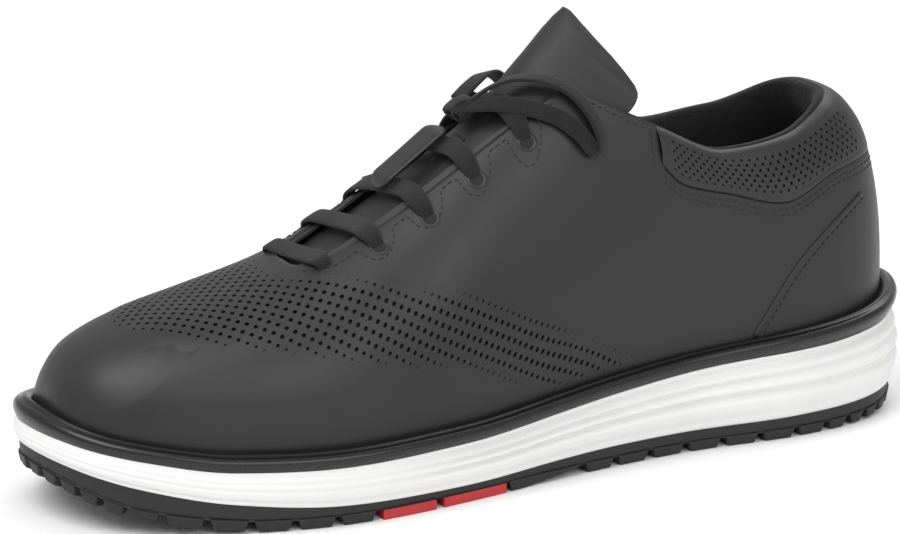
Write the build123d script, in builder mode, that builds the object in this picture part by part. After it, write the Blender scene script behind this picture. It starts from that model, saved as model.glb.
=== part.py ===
"""Low-cut spikeless golf shoe, left foot.  Toe toward -Y, outer side toward +X, floor at Z = 0."""
from build123d import *
from math import cos, pi, sin, sqrt
import os

os.makedirs("parts", exist_ok=True)

# ---- driving dimensions, millimetres ----
SHOE_HALF_LENGTH = 156.0
SOLE_EDGE = [
    (0, SHOE_HALF_LENGTH), (20, 148), (33, 131), (38, 100), (36.5, 58), (41.5, 12), (49, -30), (52, -70), (44, -108),
    (30, -138), (14, -151), (-6, -SHOE_HALF_LENGTH), (-22, -151), (-36, -139), (-47.5, -112), (-52, -74), (-46, -30),
    (-36, 12), (-33, 56), (-36, 100), (-32, 131), (-19, 148),
]

# side profiles of the sole unit as (Y, Z)
TREAD_FRONT = (-78, 0)
TREAD_BACK = (112, 0)
TREAD_TOE = [(-132, 5.2), (-160, 17)]
TREAD_HEEL = [(160, 3.5)]
TREAD_LINE = [(-160, 24), (-130, 15), (-105, 9.9), (-70, 6.5), (-25, 5.6), (35, 7.2), (80, 7.2), (115, 7.6), (160, 10)]
FEATHER_LINE = [
    (-160, 31), (-130, 24.5), (-105, 20.6), (-70, 19.4), (-25, 20.2), (35, 26), (80, 30.2), (115, 32.5), (160, 38),
]
RAND_LINE = [
    (-160, 38), (-146, 32.5), (-125, 28), (-105, 25.2), (-70, 24), (-25, 24.8), (35, 30.6), (80, 34.8), (115, 37.3),
    (160, 43.5),
]

LUG_DEPTH = 3.2
LUG_GAP = 2.4
LUG_BREAKS = [-146, -138, -127, -113, -98, -86, -70, 18, 32, 48, 62, 75, 88, 101, 114, 124, 132, 139, 145]
LUG_LANES = [-27, -9, 9, 27]
INSERT_FRONT = (-58, -39)
INSERT_REAR = (-36, -12)
WEDGE_SPAN = (-10, 17)

RAND_INSET = 0.6
RAND_THICK = 2.8

# the upper
UPPER_FRONT = -149.0
UPPER_BACK = 151.0
STATIONS = 15
PLAN_STRETCH = 1.03
PLAN_WIDTH = 0.89
CREST_LINE = [(-149, 31), (-145.5, 44), (-135, 53.5), (-117, 60.5), (-95, 65.5), (-72, 72), (-45, 86), (0, 117),
              (28, 137), (60, 150), (95, 148), (115, 135), (127, 119), (137, 103), (143.5, 87), (148, 70), (151, 50)]
FULLNESS_TOE = 2.6
FULLNESS_INSTEP = 2.25
FULLNESS_HEEL = 2.9
TOP_LINE = [(22, 126), (36, 117.5), (53, 109), (76, 99), (100, 102), (120, 110), (134, 117)]
COLLAR_SEAM = [(51, 97), (60, 89.5), (76, 85), (97, 80)]
COLLAR_SEAM_REAR = [(97, 80), (120, 88), (165, 92)]
HEEL_SEAM = [(84, 34), (104, 60), (128, 77), (170, 93)]
THROAT_CENTRE = 1.0
THROAT_FRONT = -69.0
THROAT_HALF_FRONT = 10.0
THROAT_HALF_TOP = 16.0

# layer depths below the outside of the upper
SKIN = 1.4
STIFFENER = 2.3
LINING = 3.2
COLLAR_PAD = 6.4
COLLAR_LINING = 7.2
TONGUE_OUT = 3.9
TONGUE_SKIN = 0.9
TONGUE_THICK = 5.2

# lacing
LACE_WIDTH = 7.0
LACE_THICK = 1.6
LACE_RAISE = 0.3
LACE_ROWS = [-63, -47, -30.5, -14, 4]
EYELET_REACH = 21.0
EYELET_RADIUS = 2.0

# folding tongue top
HINGE_Y = 8.0
HINGE_Z = 121.0
FLAP_GAP = 1.5
FLAP_LINE = [(8.0, 121.0), (19.0, 134.0), (31.0, 145.0)]
FLAP_HALF = [13.6, 15.6, 20.0]
FLAP_BOW = [6.5, 12.0, 20.0]


def along(points, y):
    """Height of a profile at y, straight between its points."""
    for (y0, z0), (y1, z1) in zip(points, points[1:]):
        if y <= y1 or (y1, z1) == points[-1]:
            return z0 + (z1 - z0) * (y - y0) / (y1 - y0)


def sole_edge(grow=0.0):
    """Smooth closed edge of the sole, from the heel round the outer side, moved outward by grow."""
    moved = []
    for i, (x, y) in enumerate(SOLE_EDGE):
        before = SOLE_EDGE[i - 1]
        after = SOLE_EDGE[(i + 1) % len(SOLE_EDGE)]
        heading = Vector(after[0] - before[0], after[1] - before[1]).normalized()
        moved.append((x - grow * heading.Y, y + grow * heading.X))
    return Spline(*moved, periodic=True)


def sole_plan(height, grow=0.0):
    """Plan outline of the sole unit as a face at a height."""
    with BuildSketch(Plane.XY.offset(height)) as plan:
        with BuildLine():
            sole_edge(grow)
        make_face()
    return plan.sketch


def side_slab(lower, upper, half_width=70.0):
    """Solid between two side profiles, right across the shoe."""
    with BuildPart() as slab:
        with BuildSketch(Plane.YZ):
            with BuildLine():
                low = Spline(*lower)
                high = Spline(*upper)
                Line(low @ 0, high @ 0)
                Line(low @ 1, high @ 1)
            make_face()
        extrude(amount=half_width, both=True)
    return slab.part


def side_area(*points, half_width=70.0):
    """Solid of a straight-edged side outline, right across the shoe."""
    with BuildPart() as area:
        with BuildSketch(Plane.YZ):
            with BuildLine():
                Polyline(*points, close=True)
            make_face()
        extrude(amount=half_width, both=True)
    return area.part


def raised(points, rise):
    return [(y, z + rise) for y, z in points]


def block(x0, x1, y0, y1, z0=-20.0, z1=220.0):
    with BuildPart() as box:
        with BuildSketch(Plane.XY.offset(z0)):
            with Locations(((x0 + x1) / 2, (y0 + y1) / 2)):
                Rectangle(x1 - x0, y1 - y0)
        extrude(amount=z1 - z0)
    return box.part


# ---- the lasted form: one lofted body, made again at each layer's depth ----
with BuildLine():
    plan_edge = sole_edge()
EDGE_STEPS = 800
edge_points = [plan_edge @ (i / EDGE_STEPS) for i in range(EDGE_STEPS)]
toe_index = min(range(EDGE_STEPS), key=lambda i: edge_points[i].Y)
OUTER_TABLE = sorted((p.Y, p.X) for p in edge_points[: toe_index + 1])
INNER_TABLE = sorted((p.Y, p.X) for p in edge_points[toe_index:])


def blend_value(y, toe, instep, heel):
    """Ease from the toe's value to the instep's and on to the heel's."""
    if y < 0:
        share = min(1.0, max(0.0, (y + 100) / 70))
        return toe + (instep - toe) * share
    share = min(1.0, max(0.0, (y - 20) / 80))
    return instep + (heel - instep) * share


def form_section(y, depth):
    """Centre, half width, base height, crest height and fullness of the form at a depth."""
    plan_y = y * UPPER_BACK / (UPPER_BACK - depth) * PLAN_STRETCH
    right = along(OUTER_TABLE, plan_y)
    left = along(INNER_TABLE, plan_y)
    middle = (right + left) / 2 * PLAN_WIDTH
    half = (right - left) / 2 * PLAN_WIDTH - depth
    crest_y = y * UPPER_BACK / (UPPER_BACK - depth)
    fullness = blend_value(y, FULLNESS_TOE, FULLNESS_INSTEP, FULLNESS_HEEL)
    return middle, max(half, 1.5), along(FEATHER_LINE, y), along(CREST_LINE, crest_y) - depth, fullness


def form_height(x, y, depth=0.0):
    """Height of the form's surface over a point of the plan."""
    middle, half, base, crest, fullness = form_section(y, depth)
    share = min(1.0, abs(x - middle) / half) ** (fullness / 2)
    return base + (crest - base) * sqrt(1 - share * share) ** (2 / fullness)


ARCH_POINTS = 10
SKIRT = 12.0


def form_face(y, depth):
    middle, half, base, crest, fullness = form_section(y, depth)
    points = []
    for j in range(ARCH_POINTS + 1):
        turn = pi * j / ARCH_POINTS
        side = 1 if turn < pi / 2 else -1
        x = middle + side * half * abs(cos(turn)) ** (2 / fullness)
        points.append((x, base + (crest - base) * sin(turn) ** (2 / fullness)))
    points[0] = (middle + half, base)
    points[-1] = (middle - half, base)
    with BuildSketch(Plane(origin=(0, y, 0), x_dir=(1, 0, 0), z_dir=(0, -1, 0))) as face:
        with BuildLine():
            Spline(*points, tangents=[(0, 1), (0, -1)])
            Polyline(points[-1], (middle - half, base - SKIRT), (middle + half, base - SKIRT), points[0])
        make_face()
    return face.sketch


def form(depth):
    """The lasted form, with a skirt below the feather line."""
    front = UPPER_FRONT + depth
    back = UPPER_BACK - depth
    end_turn = 0.22
    sections = []
    for i in range(STATIONS):
        turn = end_turn + (pi - 2 * end_turn) * i / (STATIONS - 1)
        share = 0.5 - 0.5 * cos(turn) / cos(end_turn)
        sections.append(form_face(front + (back - front) * share, depth))
    with BuildPart() as body:
        loft(sections=sections)
    return body.part


def layer(outer_form, inner_form, *keep, cut=(), holes=()):
    """Shell between two forms, kept inside every solid of keep and cleared of every solid of cut and holes."""
    with BuildPart() as shell:
        add(outer_form)
        for solid in keep:
            add(solid, mode=Mode.INTERSECT)
        for solid in cut:
            add(solid, mode=Mode.SUBTRACT)
        add(inner_form, mode=Mode.SUBTRACT)
        for solid in holes:
            add(solid, mode=Mode.SUBTRACT)
    return shell.part


def save(part, name, colour):
    part.label = name
    part.color = Color(colour)
    export_step(part, f"parts/{name}.step")


outside = form(0.0)
under_skin = form(SKIN)
under_stiffener = form(STIFFENER)
under_lining = form(LINING)
under_pad = form(COLLAR_PAD)
inside_collar = form(COLLAR_LINING)

# ---- cutting volumes ----
CEILING = [(-160, 230), (0, 231), (160, 230)]
above_feather = side_slab(FEATHER_LINE, CEILING)
with BuildPart() as above_top_line:
    with BuildSketch(Plane.YZ):
        with BuildLine():
            rim = Spline(*TOP_LINE, tangents=[(1, -0.55), (1, 0.35)])
            Polyline(rim @ 1, (165, 128), (165, 230), (22, 230), rim @ 0)
        make_face()
    extrude(amount=70, both=True)
with BuildPart() as throat:
    with BuildSketch(Plane.XY.offset(40)):
        with BuildLine():
            Polyline(
                (THROAT_CENTRE - THROAT_HALF_FRONT, THROAT_FRONT),
                (THROAT_CENTRE + THROAT_HALF_FRONT, THROAT_FRONT),
                (THROAT_CENTRE + THROAT_HALF_TOP, 22),
                (THROAT_CENTRE + THROAT_HALF_TOP, 60),
                (THROAT_CENTRE - THROAT_HALF_TOP, 60),
                (THROAT_CENTRE - THROAT_HALF_TOP, 22),
                close=True,
            )
        make_face()
        fillet([v for v in vertices() if v.Y < THROAT_FRONT + 1], 8)
    extrude(amount=180)
with BuildPart() as collar_zone:
    with BuildSketch(Plane.YZ):
        with BuildLine():
            front_seam = Spline(*COLLAR_SEAM, tangents=[(0.3, -1), (1, -0.2)])
            rear_seam = Spline(*COLLAR_SEAM_REAR, tangents=[(1, 0.25), (1, 0.05)])
            Polyline(rear_seam @ 1, (165, 230), (50, 230), front_seam @ 0)
        make_face()
    extrude(amount=70, both=True)
heel_zone = side_area(*HEEL_SEAM, (170, 5), (84, 5))
eyelets = []
for row in LACE_ROWS:
    for side in (-1, 1):
        x = THROAT_CENTRE + side * EYELET_REACH
        z = form_height(x, row)
        tilt = Vector(side * 0.55, -0.25, 0.8).normalized()
        with BuildPart() as hole:
            with BuildSketch(Plane(origin=Vector(x, row, z) - tilt * 5, z_dir=tilt)):
                Circle(EYELET_RADIUS)
            extrude(amount=9)
        eyelets.append(hole.part)

# ---- sole unit ----
def tread_slab(low_rise, high_profile=None, high_rise=0.0):
    """Slab whose lower side follows the tread, flat from the ball of the foot to the heel."""
    with BuildPart() as slab:
        with BuildSketch(Plane.YZ):
            with BuildLine():
                toe = Spline(*raised([TREAD_FRONT] + TREAD_TOE, low_rise), tangents=[(-1, 0), (-0.75, 0.6)])
                flat = Line((TREAD_FRONT[0], low_rise), (TREAD_BACK[0], low_rise))
                heel = Spline(*raised([TREAD_BACK] + TREAD_HEEL, low_rise), tangents=[(1, 0), (1, 0.2)])
                if high_profile:
                    top = Spline(*high_profile)
                    Line(toe @ 1, top @ 0)
                    Line(heel @ 1, top @ 1)
                else:
                    toe_top = Spline(*raised([TREAD_FRONT] + TREAD_TOE, high_rise), tangents=[(-1, 0), (-0.75, 0.6)])
                    Line((TREAD_FRONT[0], high_rise), (TREAD_BACK[0], high_rise))
                    heel_top = Spline(*raised([TREAD_BACK] + TREAD_HEEL, high_rise), tangents=[(1, 0), (1, 0.2)])
                    Line(toe @ 1, toe_top @ 1)
                    Line(heel @ 1, heel_top @ 1)
            make_face()
        extrude(amount=70, both=True)
    return slab.part


lug_layer = tread_slab(0.0, high_rise=LUG_DEPTH + 0.4)
plate_layer = tread_slab(LUG_DEPTH, high_profile=TREAD_LINE)

with BuildPart() as lugs:
    add(sole_plan(-5, -1.0))
    extrude(amount=60)
    add(lug_layer, mode=Mode.INTERSECT)
    for y in LUG_BREAKS:
        add(block(-70, 70, y - LUG_GAP / 2, y + LUG_GAP / 2), mode=Mode.SUBTRACT)
    for x in LUG_LANES:
        add(block(x - 1.6, x + 1.6, -170, INSERT_FRONT[0] - 2), mode=Mode.SUBTRACT)
        add(block(x - 1.6, x + 1.6, WEDGE_SPAN[1] + 2, 170), mode=Mode.SUBTRACT)
    add(block(-70, 70, INSERT_FRONT[0] - 1.5, WEDGE_SPAN[0]), mode=Mode.SUBTRACT)
with BuildPart() as outsole:
    add(sole_plan(-5, -1.0))
    extrude(amount=60)
    add(plate_layer, mode=Mode.INTERSECT)
    add(lugs.part)
save(outsole.part, "outsole", "gray20")

with BuildPart() as traction_insert:
    add(sole_plan(0, -0.6))
    extrude(amount=LUG_DEPTH)
    add(block(-70, 70, -170, INSERT_FRONT[0]), mode=Mode.SUBTRACT)
    add(block(-70, 70, INSERT_FRONT[1], INSERT_REAR[0]), mode=Mode.SUBTRACT)
    add(block(-70, 70, INSERT_REAR[1], 170), mode=Mode.SUBTRACT)
save(traction_insert.part, "traction_insert", "firebrick")

GROOVE_HEIGHTS = [0.5, 0.66, 0.82]
GROOVE_DEPTH = 1.0
GROOVE_SPAN = (-45, 170)


def between(share, y):
    return along(TREAD_LINE, y) + (along(FEATHER_LINE, y) - along(TREAD_LINE, y)) * share


midsole_slab = side_slab(TREAD_LINE, FEATHER_LINE)
shank_slab = side_slab(raised(FEATHER_LINE, -6), raised(FEATHER_LINE, -4.2))
with BuildPart() as shank:
    add(block(-10, 10, -20, 75))
    add(shank_slab, mode=Mode.INTERSECT)
save(shank.part, "shank", "gray")

with BuildPart() as groove_ring:
    add(sole_plan(-5, 2.0))
    extrude(amount=60)
    with BuildSketch(Plane.XY.offset(-5)):
        add(sole_plan(-5, -GROOVE_DEPTH))
    extrude(amount=60, mode=Mode.SUBTRACT)
with BuildPart() as midsole:
    add(sole_plan(-5))
    extrude(amount=60)
    add(midsole_slab, mode=Mode.INTERSECT)
    add(shank.part, mode=Mode.SUBTRACT)
    for share in GROOVE_HEIGHTS:
        path = [(y, between(share, y)) for y, z in TREAD_LINE]
        groove = side_slab(raised(path, -0.6), raised(path, 0.6))
        cutter = groove_ring.part & groove & block(-70, 70, *GROOVE_SPAN)
        add(cutter, mode=Mode.SUBTRACT)
save(midsole.part, "midsole", "whitesmoke")

with BuildPart() as rand:
    add(sole_plan(-5, -RAND_INSET))
    extrude(amount=80)
    add(side_slab(FEATHER_LINE, RAND_LINE), mode=Mode.INTERSECT)
    with BuildSketch(Plane.XY.offset(-5)):
        add(sole_plan(-5, -RAND_INSET - RAND_THICK))
    extrude(amount=80, mode=Mode.SUBTRACT)
save(rand.part, "rand", "gray15")

BOARD = 1.8
FOAM = 3.6
COVER = 0.8
for name, low, high, colour in (
    ("lasting_board", 0.0, BOARD, "tan"),
    ("insole_foam", BOARD, BOARD + FOAM, "gray50"),
    ("insole_cover", BOARD + FOAM, BOARD + FOAM + COVER, "gray30"),
):
    with BuildPart() as sheet:
        add(under_lining)
        add(side_slab(raised(FEATHER_LINE, low), raised(FEATHER_LINE, high)), mode=Mode.INTERSECT)
    save(sheet.part, name, colour)

# ---- upper: vamp and two quarters, with a heel panel and a collar panel let in ----
QUARTER_START = -30.0
top_line_cut = above_top_line.part
collar_area = collar_zone.part
vamp_area = block(-70, 70, -170, QUARTER_START)
quarter_areas = {
    "quarter_outer": block(THROAT_CENTRE, 70, QUARTER_START, 170),
    "quarter_inner": block(-70, THROAT_CENTRE, QUARTER_START, 170),
}
quarter_cut = [top_line_cut, throat.part, collar_area, heel_zone]
save(layer(outside, under_skin, collar_area, cut=[top_line_cut]), "collar_panel", "dimgray")
save(layer(outside, under_skin, heel_zone, above_feather, cut=[collar_area]), "heel_panel", "gray25")
save(layer(outside, under_skin, vamp_area, above_feather, cut=[throat.part], holes=eyelets), "vamp", "gray30")
for name, area in quarter_areas.items():
    save(layer(outside, under_skin, area, above_feather, cut=quarter_cut, holes=eyelets), name, "gray30")

# ---- stiffeners between skin and lining ----
toe_zone = side_area((-165, 10), (-165, 75), (-126, 75), (-118, 10))
counter_zone = side_area((98, 10), (98, 55), (118, 76), (165, 78), (165, 10))
above_board = side_slab(raised(FEATHER_LINE, 0.4), CEILING)
save(layer(under_skin, under_stiffener, toe_zone, above_board), "toe_puff", "wheat")
save(layer(under_skin, under_stiffener, counter_zone, above_board), "heel_counter", "wheat")
STAY_WIDTH = 9.0
LACING_FLOOR = 58.0
stay_edge = THROAT_HALF_TOP + STAY_WIDTH
stay_zones = {
    "eyestay_outer": block(THROAT_CENTRE + 4, THROAT_CENTRE + stay_edge, THROAT_FRONT + 4, 17, LACING_FLOOR),
    "eyestay_inner": block(THROAT_CENTRE - stay_edge, THROAT_CENTRE - 4, THROAT_FRONT + 4, 17, LACING_FLOOR),
}
for name, zone in stay_zones.items():
    stay = layer(under_skin, under_stiffener, zone, cut=[top_line_cut, throat.part], holes=eyelets)
    save(stay, name, "gray45")

LINING_JOIN = 36.0
stay_clearance = block(-25, 27, THROAT_FRONT - 16, LINING_JOIN, LACING_FLOOR)
vamp_lining_area = block(-70, 70, -170, LINING_JOIN)
quarter_lining_area = block(-70, 70, LINING_JOIN, 170)
vamp_lining = layer(under_stiffener, under_lining, vamp_lining_area, above_board, cut=[top_line_cut, stay_clearance])
save(vamp_lining, "vamp_lining", "gray40")
quarter_lining = layer(under_stiffener, under_lining, quarter_lining_area, above_board, cut=[top_line_cut, collar_area])
save(quarter_lining, "quarter_lining", "gray40")
collar_cut = [top_line_cut, block(-70, 70, -170, 52)]
save(layer(under_skin, under_pad, collar_area, cut=collar_cut), "collar_foam", "khaki")
save(layer(under_pad, inside_collar, collar_area, cut=collar_cut), "collar_lining", "gray35")

# ---- tongue: lower length under the lacing, and a top that folds at the last row ----
tongue_lower_zone = block(THROAT_CENTRE - 19, THROAT_CENTRE + 19, THROAT_FRONT - 14, 40, LACING_FLOOR - 8)
fold_slope = (FLAP_LINE[1][1] - FLAP_LINE[0][1]) / (FLAP_LINE[1][0] - FLAP_LINE[0][0])
behind_fold = side_area(
    (HINGE_Y - 40 * fold_slope, HINGE_Z + 40),
    (HINGE_Y, HINGE_Z),
    (HINGE_Y + 30 * fold_slope, HINGE_Z - 30),
    (165, HINGE_Z - 30),
    (165, HINGE_Z + 80),
    (HINGE_Y - 40 * fold_slope, HINGE_Z + 80),
)
lower_layers = [0.0, TONGUE_SKIN, TONGUE_THICK - TONGUE_SKIN, TONGUE_THICK]
lower_forms = [form(TONGUE_OUT + depth) for depth in lower_layers]
for name, outer_form, inner_form, colour in (
    ("tongue_cover", lower_forms[0], lower_forms[1], "gray35"),
    ("tongue_foam", lower_forms[1], lower_forms[2], "khaki"),
    ("tongue_lining", lower_forms[2], lower_forms[3], "gray40"),
):
    save(layer(outer_form, inner_form, tongue_lower_zone, cut=[behind_fold]), name, colour)


def flap_face(index, outer_depth, inner_depth):
    """Crescent across the tongue top, square to its centre line."""
    y, z = FLAP_LINE[index]
    before = FLAP_LINE[max(index - 1, 0)]
    after = FLAP_LINE[min(index + 1, len(FLAP_LINE) - 1)]
    heading = Vector(0, after[0] - before[0], after[1] - before[1]).normalized()
    start = Vector(THROAT_CENTRE, y, z)
    if index == 0:
        start += heading * FLAP_GAP
    half = FLAP_HALF[index]
    bow = FLAP_BOW[index]
    with BuildSketch(Plane(origin=start, x_dir=(1, 0, 0), z_dir=heading)) as face:
        with BuildLine():
            outer = ThreePointArc((-half, bow + outer_depth), (0, outer_depth), (half, bow + outer_depth))
            inner = ThreePointArc((-half, bow + inner_depth), (0, inner_depth), (half, bow + inner_depth))
            Line(outer @ 0, inner @ 0)
            Line(outer @ 1, inner @ 1)
        make_face()
    return face.sketch


FLAP_DEPTHS = [0.0, TONGUE_SKIN, TONGUE_THICK - TONGUE_SKIN, TONGUE_THICK]
for name, low, high, colour in (
    ("tongue_top_cover", FLAP_DEPTHS[0], FLAP_DEPTHS[1], "gray35"),
    ("tongue_top_foam", FLAP_DEPTHS[1], FLAP_DEPTHS[2], "khaki"),
    ("tongue_top_lining", FLAP_DEPTHS[2], FLAP_DEPTHS[3], "gray40"),
):
    with BuildPart() as flap:
        loft(sections=[flap_face(i, low, high) for i in range(len(FLAP_LINE))])
    save(flap.part, name, colour)

# ---- lacing: bars over the throat, legs through the eyelets, runs under the stays ----
lace_over = form(-LACE_RAISE - LACE_THICK)
lace_under = form(-LACE_RAISE)
run_top = under_stiffener
run_bottom = form(TONGUE_OUT - 0.3)
with BuildPart() as bar_zone:
    for row in LACE_ROWS:
        reach = EYELET_REACH + 2.5
        low, high = row - LACE_WIDTH / 2, row + LACE_WIDTH / 2
        add(block(THROAT_CENTRE - reach, THROAT_CENTRE + reach, low, high, LACING_FLOOR))
bars = layer(lace_over, lace_under, bar_zone.part)
with BuildPart() as run_zone:
    for side in (-1, 1):
        middle = THROAT_CENTRE + side * EYELET_REACH
        add(block(middle - 2.4, middle + 2.4, LACE_ROWS[0], LACE_ROWS[-1], LACING_FLOOR))
runs = layer(run_top, run_bottom, run_zone.part)
legs = []
for row in LACE_ROWS:
    for side in (-1, 1):
        x = THROAT_CENTRE + side * EYELET_REACH
        tilt = Vector(side * 0.55, -0.25, 0.8).normalized()
        with BuildPart() as leg:
            with BuildSketch(Plane(origin=Vector(x, row, form_height(x, row)) - tilt * 3.2, z_dir=tilt)):
                Circle(EYELET_RADIUS - 0.4)
            extrude(amount=4.4)
        legs.append(leg.part)
with BuildPart() as lace:
    add(runs)
    for leg in legs:
        add(leg)
    for bar in bars.solids():
        add(bar)
save(lace.part, "lace", "gray15")

KEEPER_SPAN = (-37, -12)
KEEPER_HALF = 6.5
KEEPER_THICK = 1.0
keeper_under = form(-LACE_RAISE - LACE_THICK - 0.2)
keeper_over = form(-LACE_RAISE - LACE_THICK - 0.2 - KEEPER_THICK)
keeper_zone = block(THROAT_CENTRE - KEEPER_HALF, THROAT_CENTRE + KEEPER_HALF, *KEEPER_SPAN, LACING_FLOOR)
keeper_cut = block(-70, 70, LACE_ROWS[2] - 3.7, LACE_ROWS[2] + 3.7)
save(layer(keeper_over, keeper_under, keeper_zone, cut=[keeper_cut]), "lace_keeper", "gray35")

KNOT = Vector(2, -4.5, 120.2)
with BuildPart() as lace_knot:
    with BuildSketch(Plane(origin=KNOT, x_dir=(1, 0, 0), z_dir=(0, -0.66, 0.75))):
        Ellipse(8.5, 5.5)
    extrude(amount=3.2, both=True)
    fillet(lace_knot.edges(), 1.5)
save(lace_knot.part, "lace_knot", "gray15")

LOOP_RISE = 5.5
LOOP_HALF_LENGTH = 13.5
LOOP_HALF_WIDTH = 6.0
for name, side in (("lace_loop_outer", 1), ("lace_loop_inner", -1)):
    reach = Vector(side * 0.80, 0.60, -0.05).normalized()
    facing = Vector(side * 0.35, -0.5, 0.79)
    facing = (facing - reach * facing.dot(reach)).normalized()
    start = KNOT + Vector(0, 0, LOOP_RISE) + reach * (LOOP_HALF_LENGTH + 8.5)
    with BuildPart() as loop:
        with BuildSketch(Plane(origin=start, x_dir=reach, z_dir=facing)):
            Ellipse(LOOP_HALF_LENGTH, LOOP_HALF_WIDTH)
            Ellipse(LOOP_HALF_LENGTH - LACE_THICK, LOOP_HALF_WIDTH - LACE_THICK, mode=Mode.SUBTRACT)
        extrude(amount=LACE_WIDTH / 2 - 1, both=True)
    save(loop.part, name, "gray15")

AGLET_LENGTH = 20.0
AGLET_RADIUS = 1.5
AGLET_RISE = 6.5
with BuildPart() as aglets:
    for x in (-27.0, -31.5):
        start = Vector(x, -28, form_height(x, -28) + AGLET_RISE)
        end = Vector(x, -8, form_height(x, -8) + AGLET_RISE)
        with BuildSketch(Plane(origin=start, z_dir=(end - start).normalized())):
            Circle(AGLET_RADIUS)
        extrude(amount=AGLET_LENGTH)
save(aglets.part, "aglets", "black")
print("shoe done")
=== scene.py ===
import math

import bmesh
import bpy
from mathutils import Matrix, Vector


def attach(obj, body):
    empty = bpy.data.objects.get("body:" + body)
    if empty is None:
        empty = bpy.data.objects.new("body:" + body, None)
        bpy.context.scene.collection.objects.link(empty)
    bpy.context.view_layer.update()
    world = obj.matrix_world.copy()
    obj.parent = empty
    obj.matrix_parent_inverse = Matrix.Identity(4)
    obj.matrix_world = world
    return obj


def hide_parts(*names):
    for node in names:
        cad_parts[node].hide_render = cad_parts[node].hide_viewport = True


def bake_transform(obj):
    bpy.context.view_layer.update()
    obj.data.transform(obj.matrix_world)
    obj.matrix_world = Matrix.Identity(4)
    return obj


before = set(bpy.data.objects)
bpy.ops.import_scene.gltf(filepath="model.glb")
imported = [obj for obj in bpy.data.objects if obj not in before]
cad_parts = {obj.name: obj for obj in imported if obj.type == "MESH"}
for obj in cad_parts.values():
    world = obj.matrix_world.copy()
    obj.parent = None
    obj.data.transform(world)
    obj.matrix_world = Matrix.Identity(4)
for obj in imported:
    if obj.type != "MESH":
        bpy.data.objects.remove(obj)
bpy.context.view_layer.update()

mm = 0.001
print("frame loaded")


# smooth value of a profile at x: monotone cubic through the points, which are sorted by x
def smoothValue(points, x):
    count = len(points)
    if x <= points[0][0]:
        return points[0][1]
    if x >= points[-1][0]:
        return points[-1][1]
    slopes = [(b[1] - a[1]) / (b[0] - a[0]) for a, b in zip(points, points[1:])]
    tangents = [slopes[0]]
    for i in range(1, count - 1):
        before, after = slopes[i - 1], slopes[i]
        tangents.append(0 if before * after <= 0 else 2 * before * after / (before + after))
    tangents.append(slopes[-1])
    for i in range(count - 1):
        if x <= points[i + 1][0]:
            width = points[i + 1][0] - points[i][0]
            t = (x - points[i][0]) / width
            a = 2 * t**3 - 3 * t**2 + 1
            b = t**3 - 2 * t**2 + t
            c = -2 * t**3 + 3 * t**2
            d = t**3 - t**2
            start = a * points[i][1] + b * width * tangents[i]
            return start + c * points[i + 1][1] + d * width * tangents[i + 1]


def between(a, b, t):
    return a + (b - a) * t


# the step of a rising list that holds a goal, and how far along it the goal lies
def findStep(values, goal):
    low, high = 0, len(values) - 1
    while high - low > 1:
        middle = (low + high) // 2
        if values[middle] <= goal:
            low = middle
        else:
            high = middle
    return low, (goal - values[low]) / max(1e-9, values[high] - values[low])


# lengths along a chain of points, from its start
def runningLengths(points):
    lengths = [0.0]
    for a, b in zip(points, points[1:]):
        lengths.append(lengths[-1] + math.dist(a, b))
    return lengths


def easeStep(low, high, x):
    t = min(1, max(0, (x - low) / (high - low)))
    return t * t * (3 - 2 * t)


# closed or open smooth path through points in the plan
def smoothPath(points, count, closed=True):
    size = len(points)
    spans = size if closed else size - 1
    samples = []
    for i in range(count):
        where = i * spans / (count if closed else count - 1)
        k = min(int(where), spans - 1)
        t = where - k
        if closed:
            p = [points[(k + j - 1) % size] for j in range(4)]
        else:
            p = [points[min(max(k + j - 1, 0), size - 1)] for j in range(4)]
        samples.append(tuple(
            0.5 * (2 * p[1][c] + (p[2][c] - p[0][c]) * t
                   + (2 * p[0][c] - 5 * p[1][c] + 4 * p[2][c] - p[3][c]) * t * t
                   + (3 * p[1][c] - p[0][c] - 3 * p[2][c] + p[3][c]) * t**3)
            for c in range(len(p[1]))))
    return samples


def evenSpacing(samples, count, closed=True):
    ring = samples + [samples[0]] if closed else samples
    lengths = runningLengths(ring)
    out = []
    k = 0
    for i in range(count):
        goal = lengths[-1] * i / (count if closed else count - 1)
        while k < len(lengths) - 2 and lengths[k + 1] < goal:
            k += 1
        t = (goal - lengths[k]) / max(1e-9, lengths[k + 1] - lengths[k])
        out.append(tuple(a + (b - a) * t for a, b in zip(ring[k], ring[k + 1])))
    return out


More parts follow.
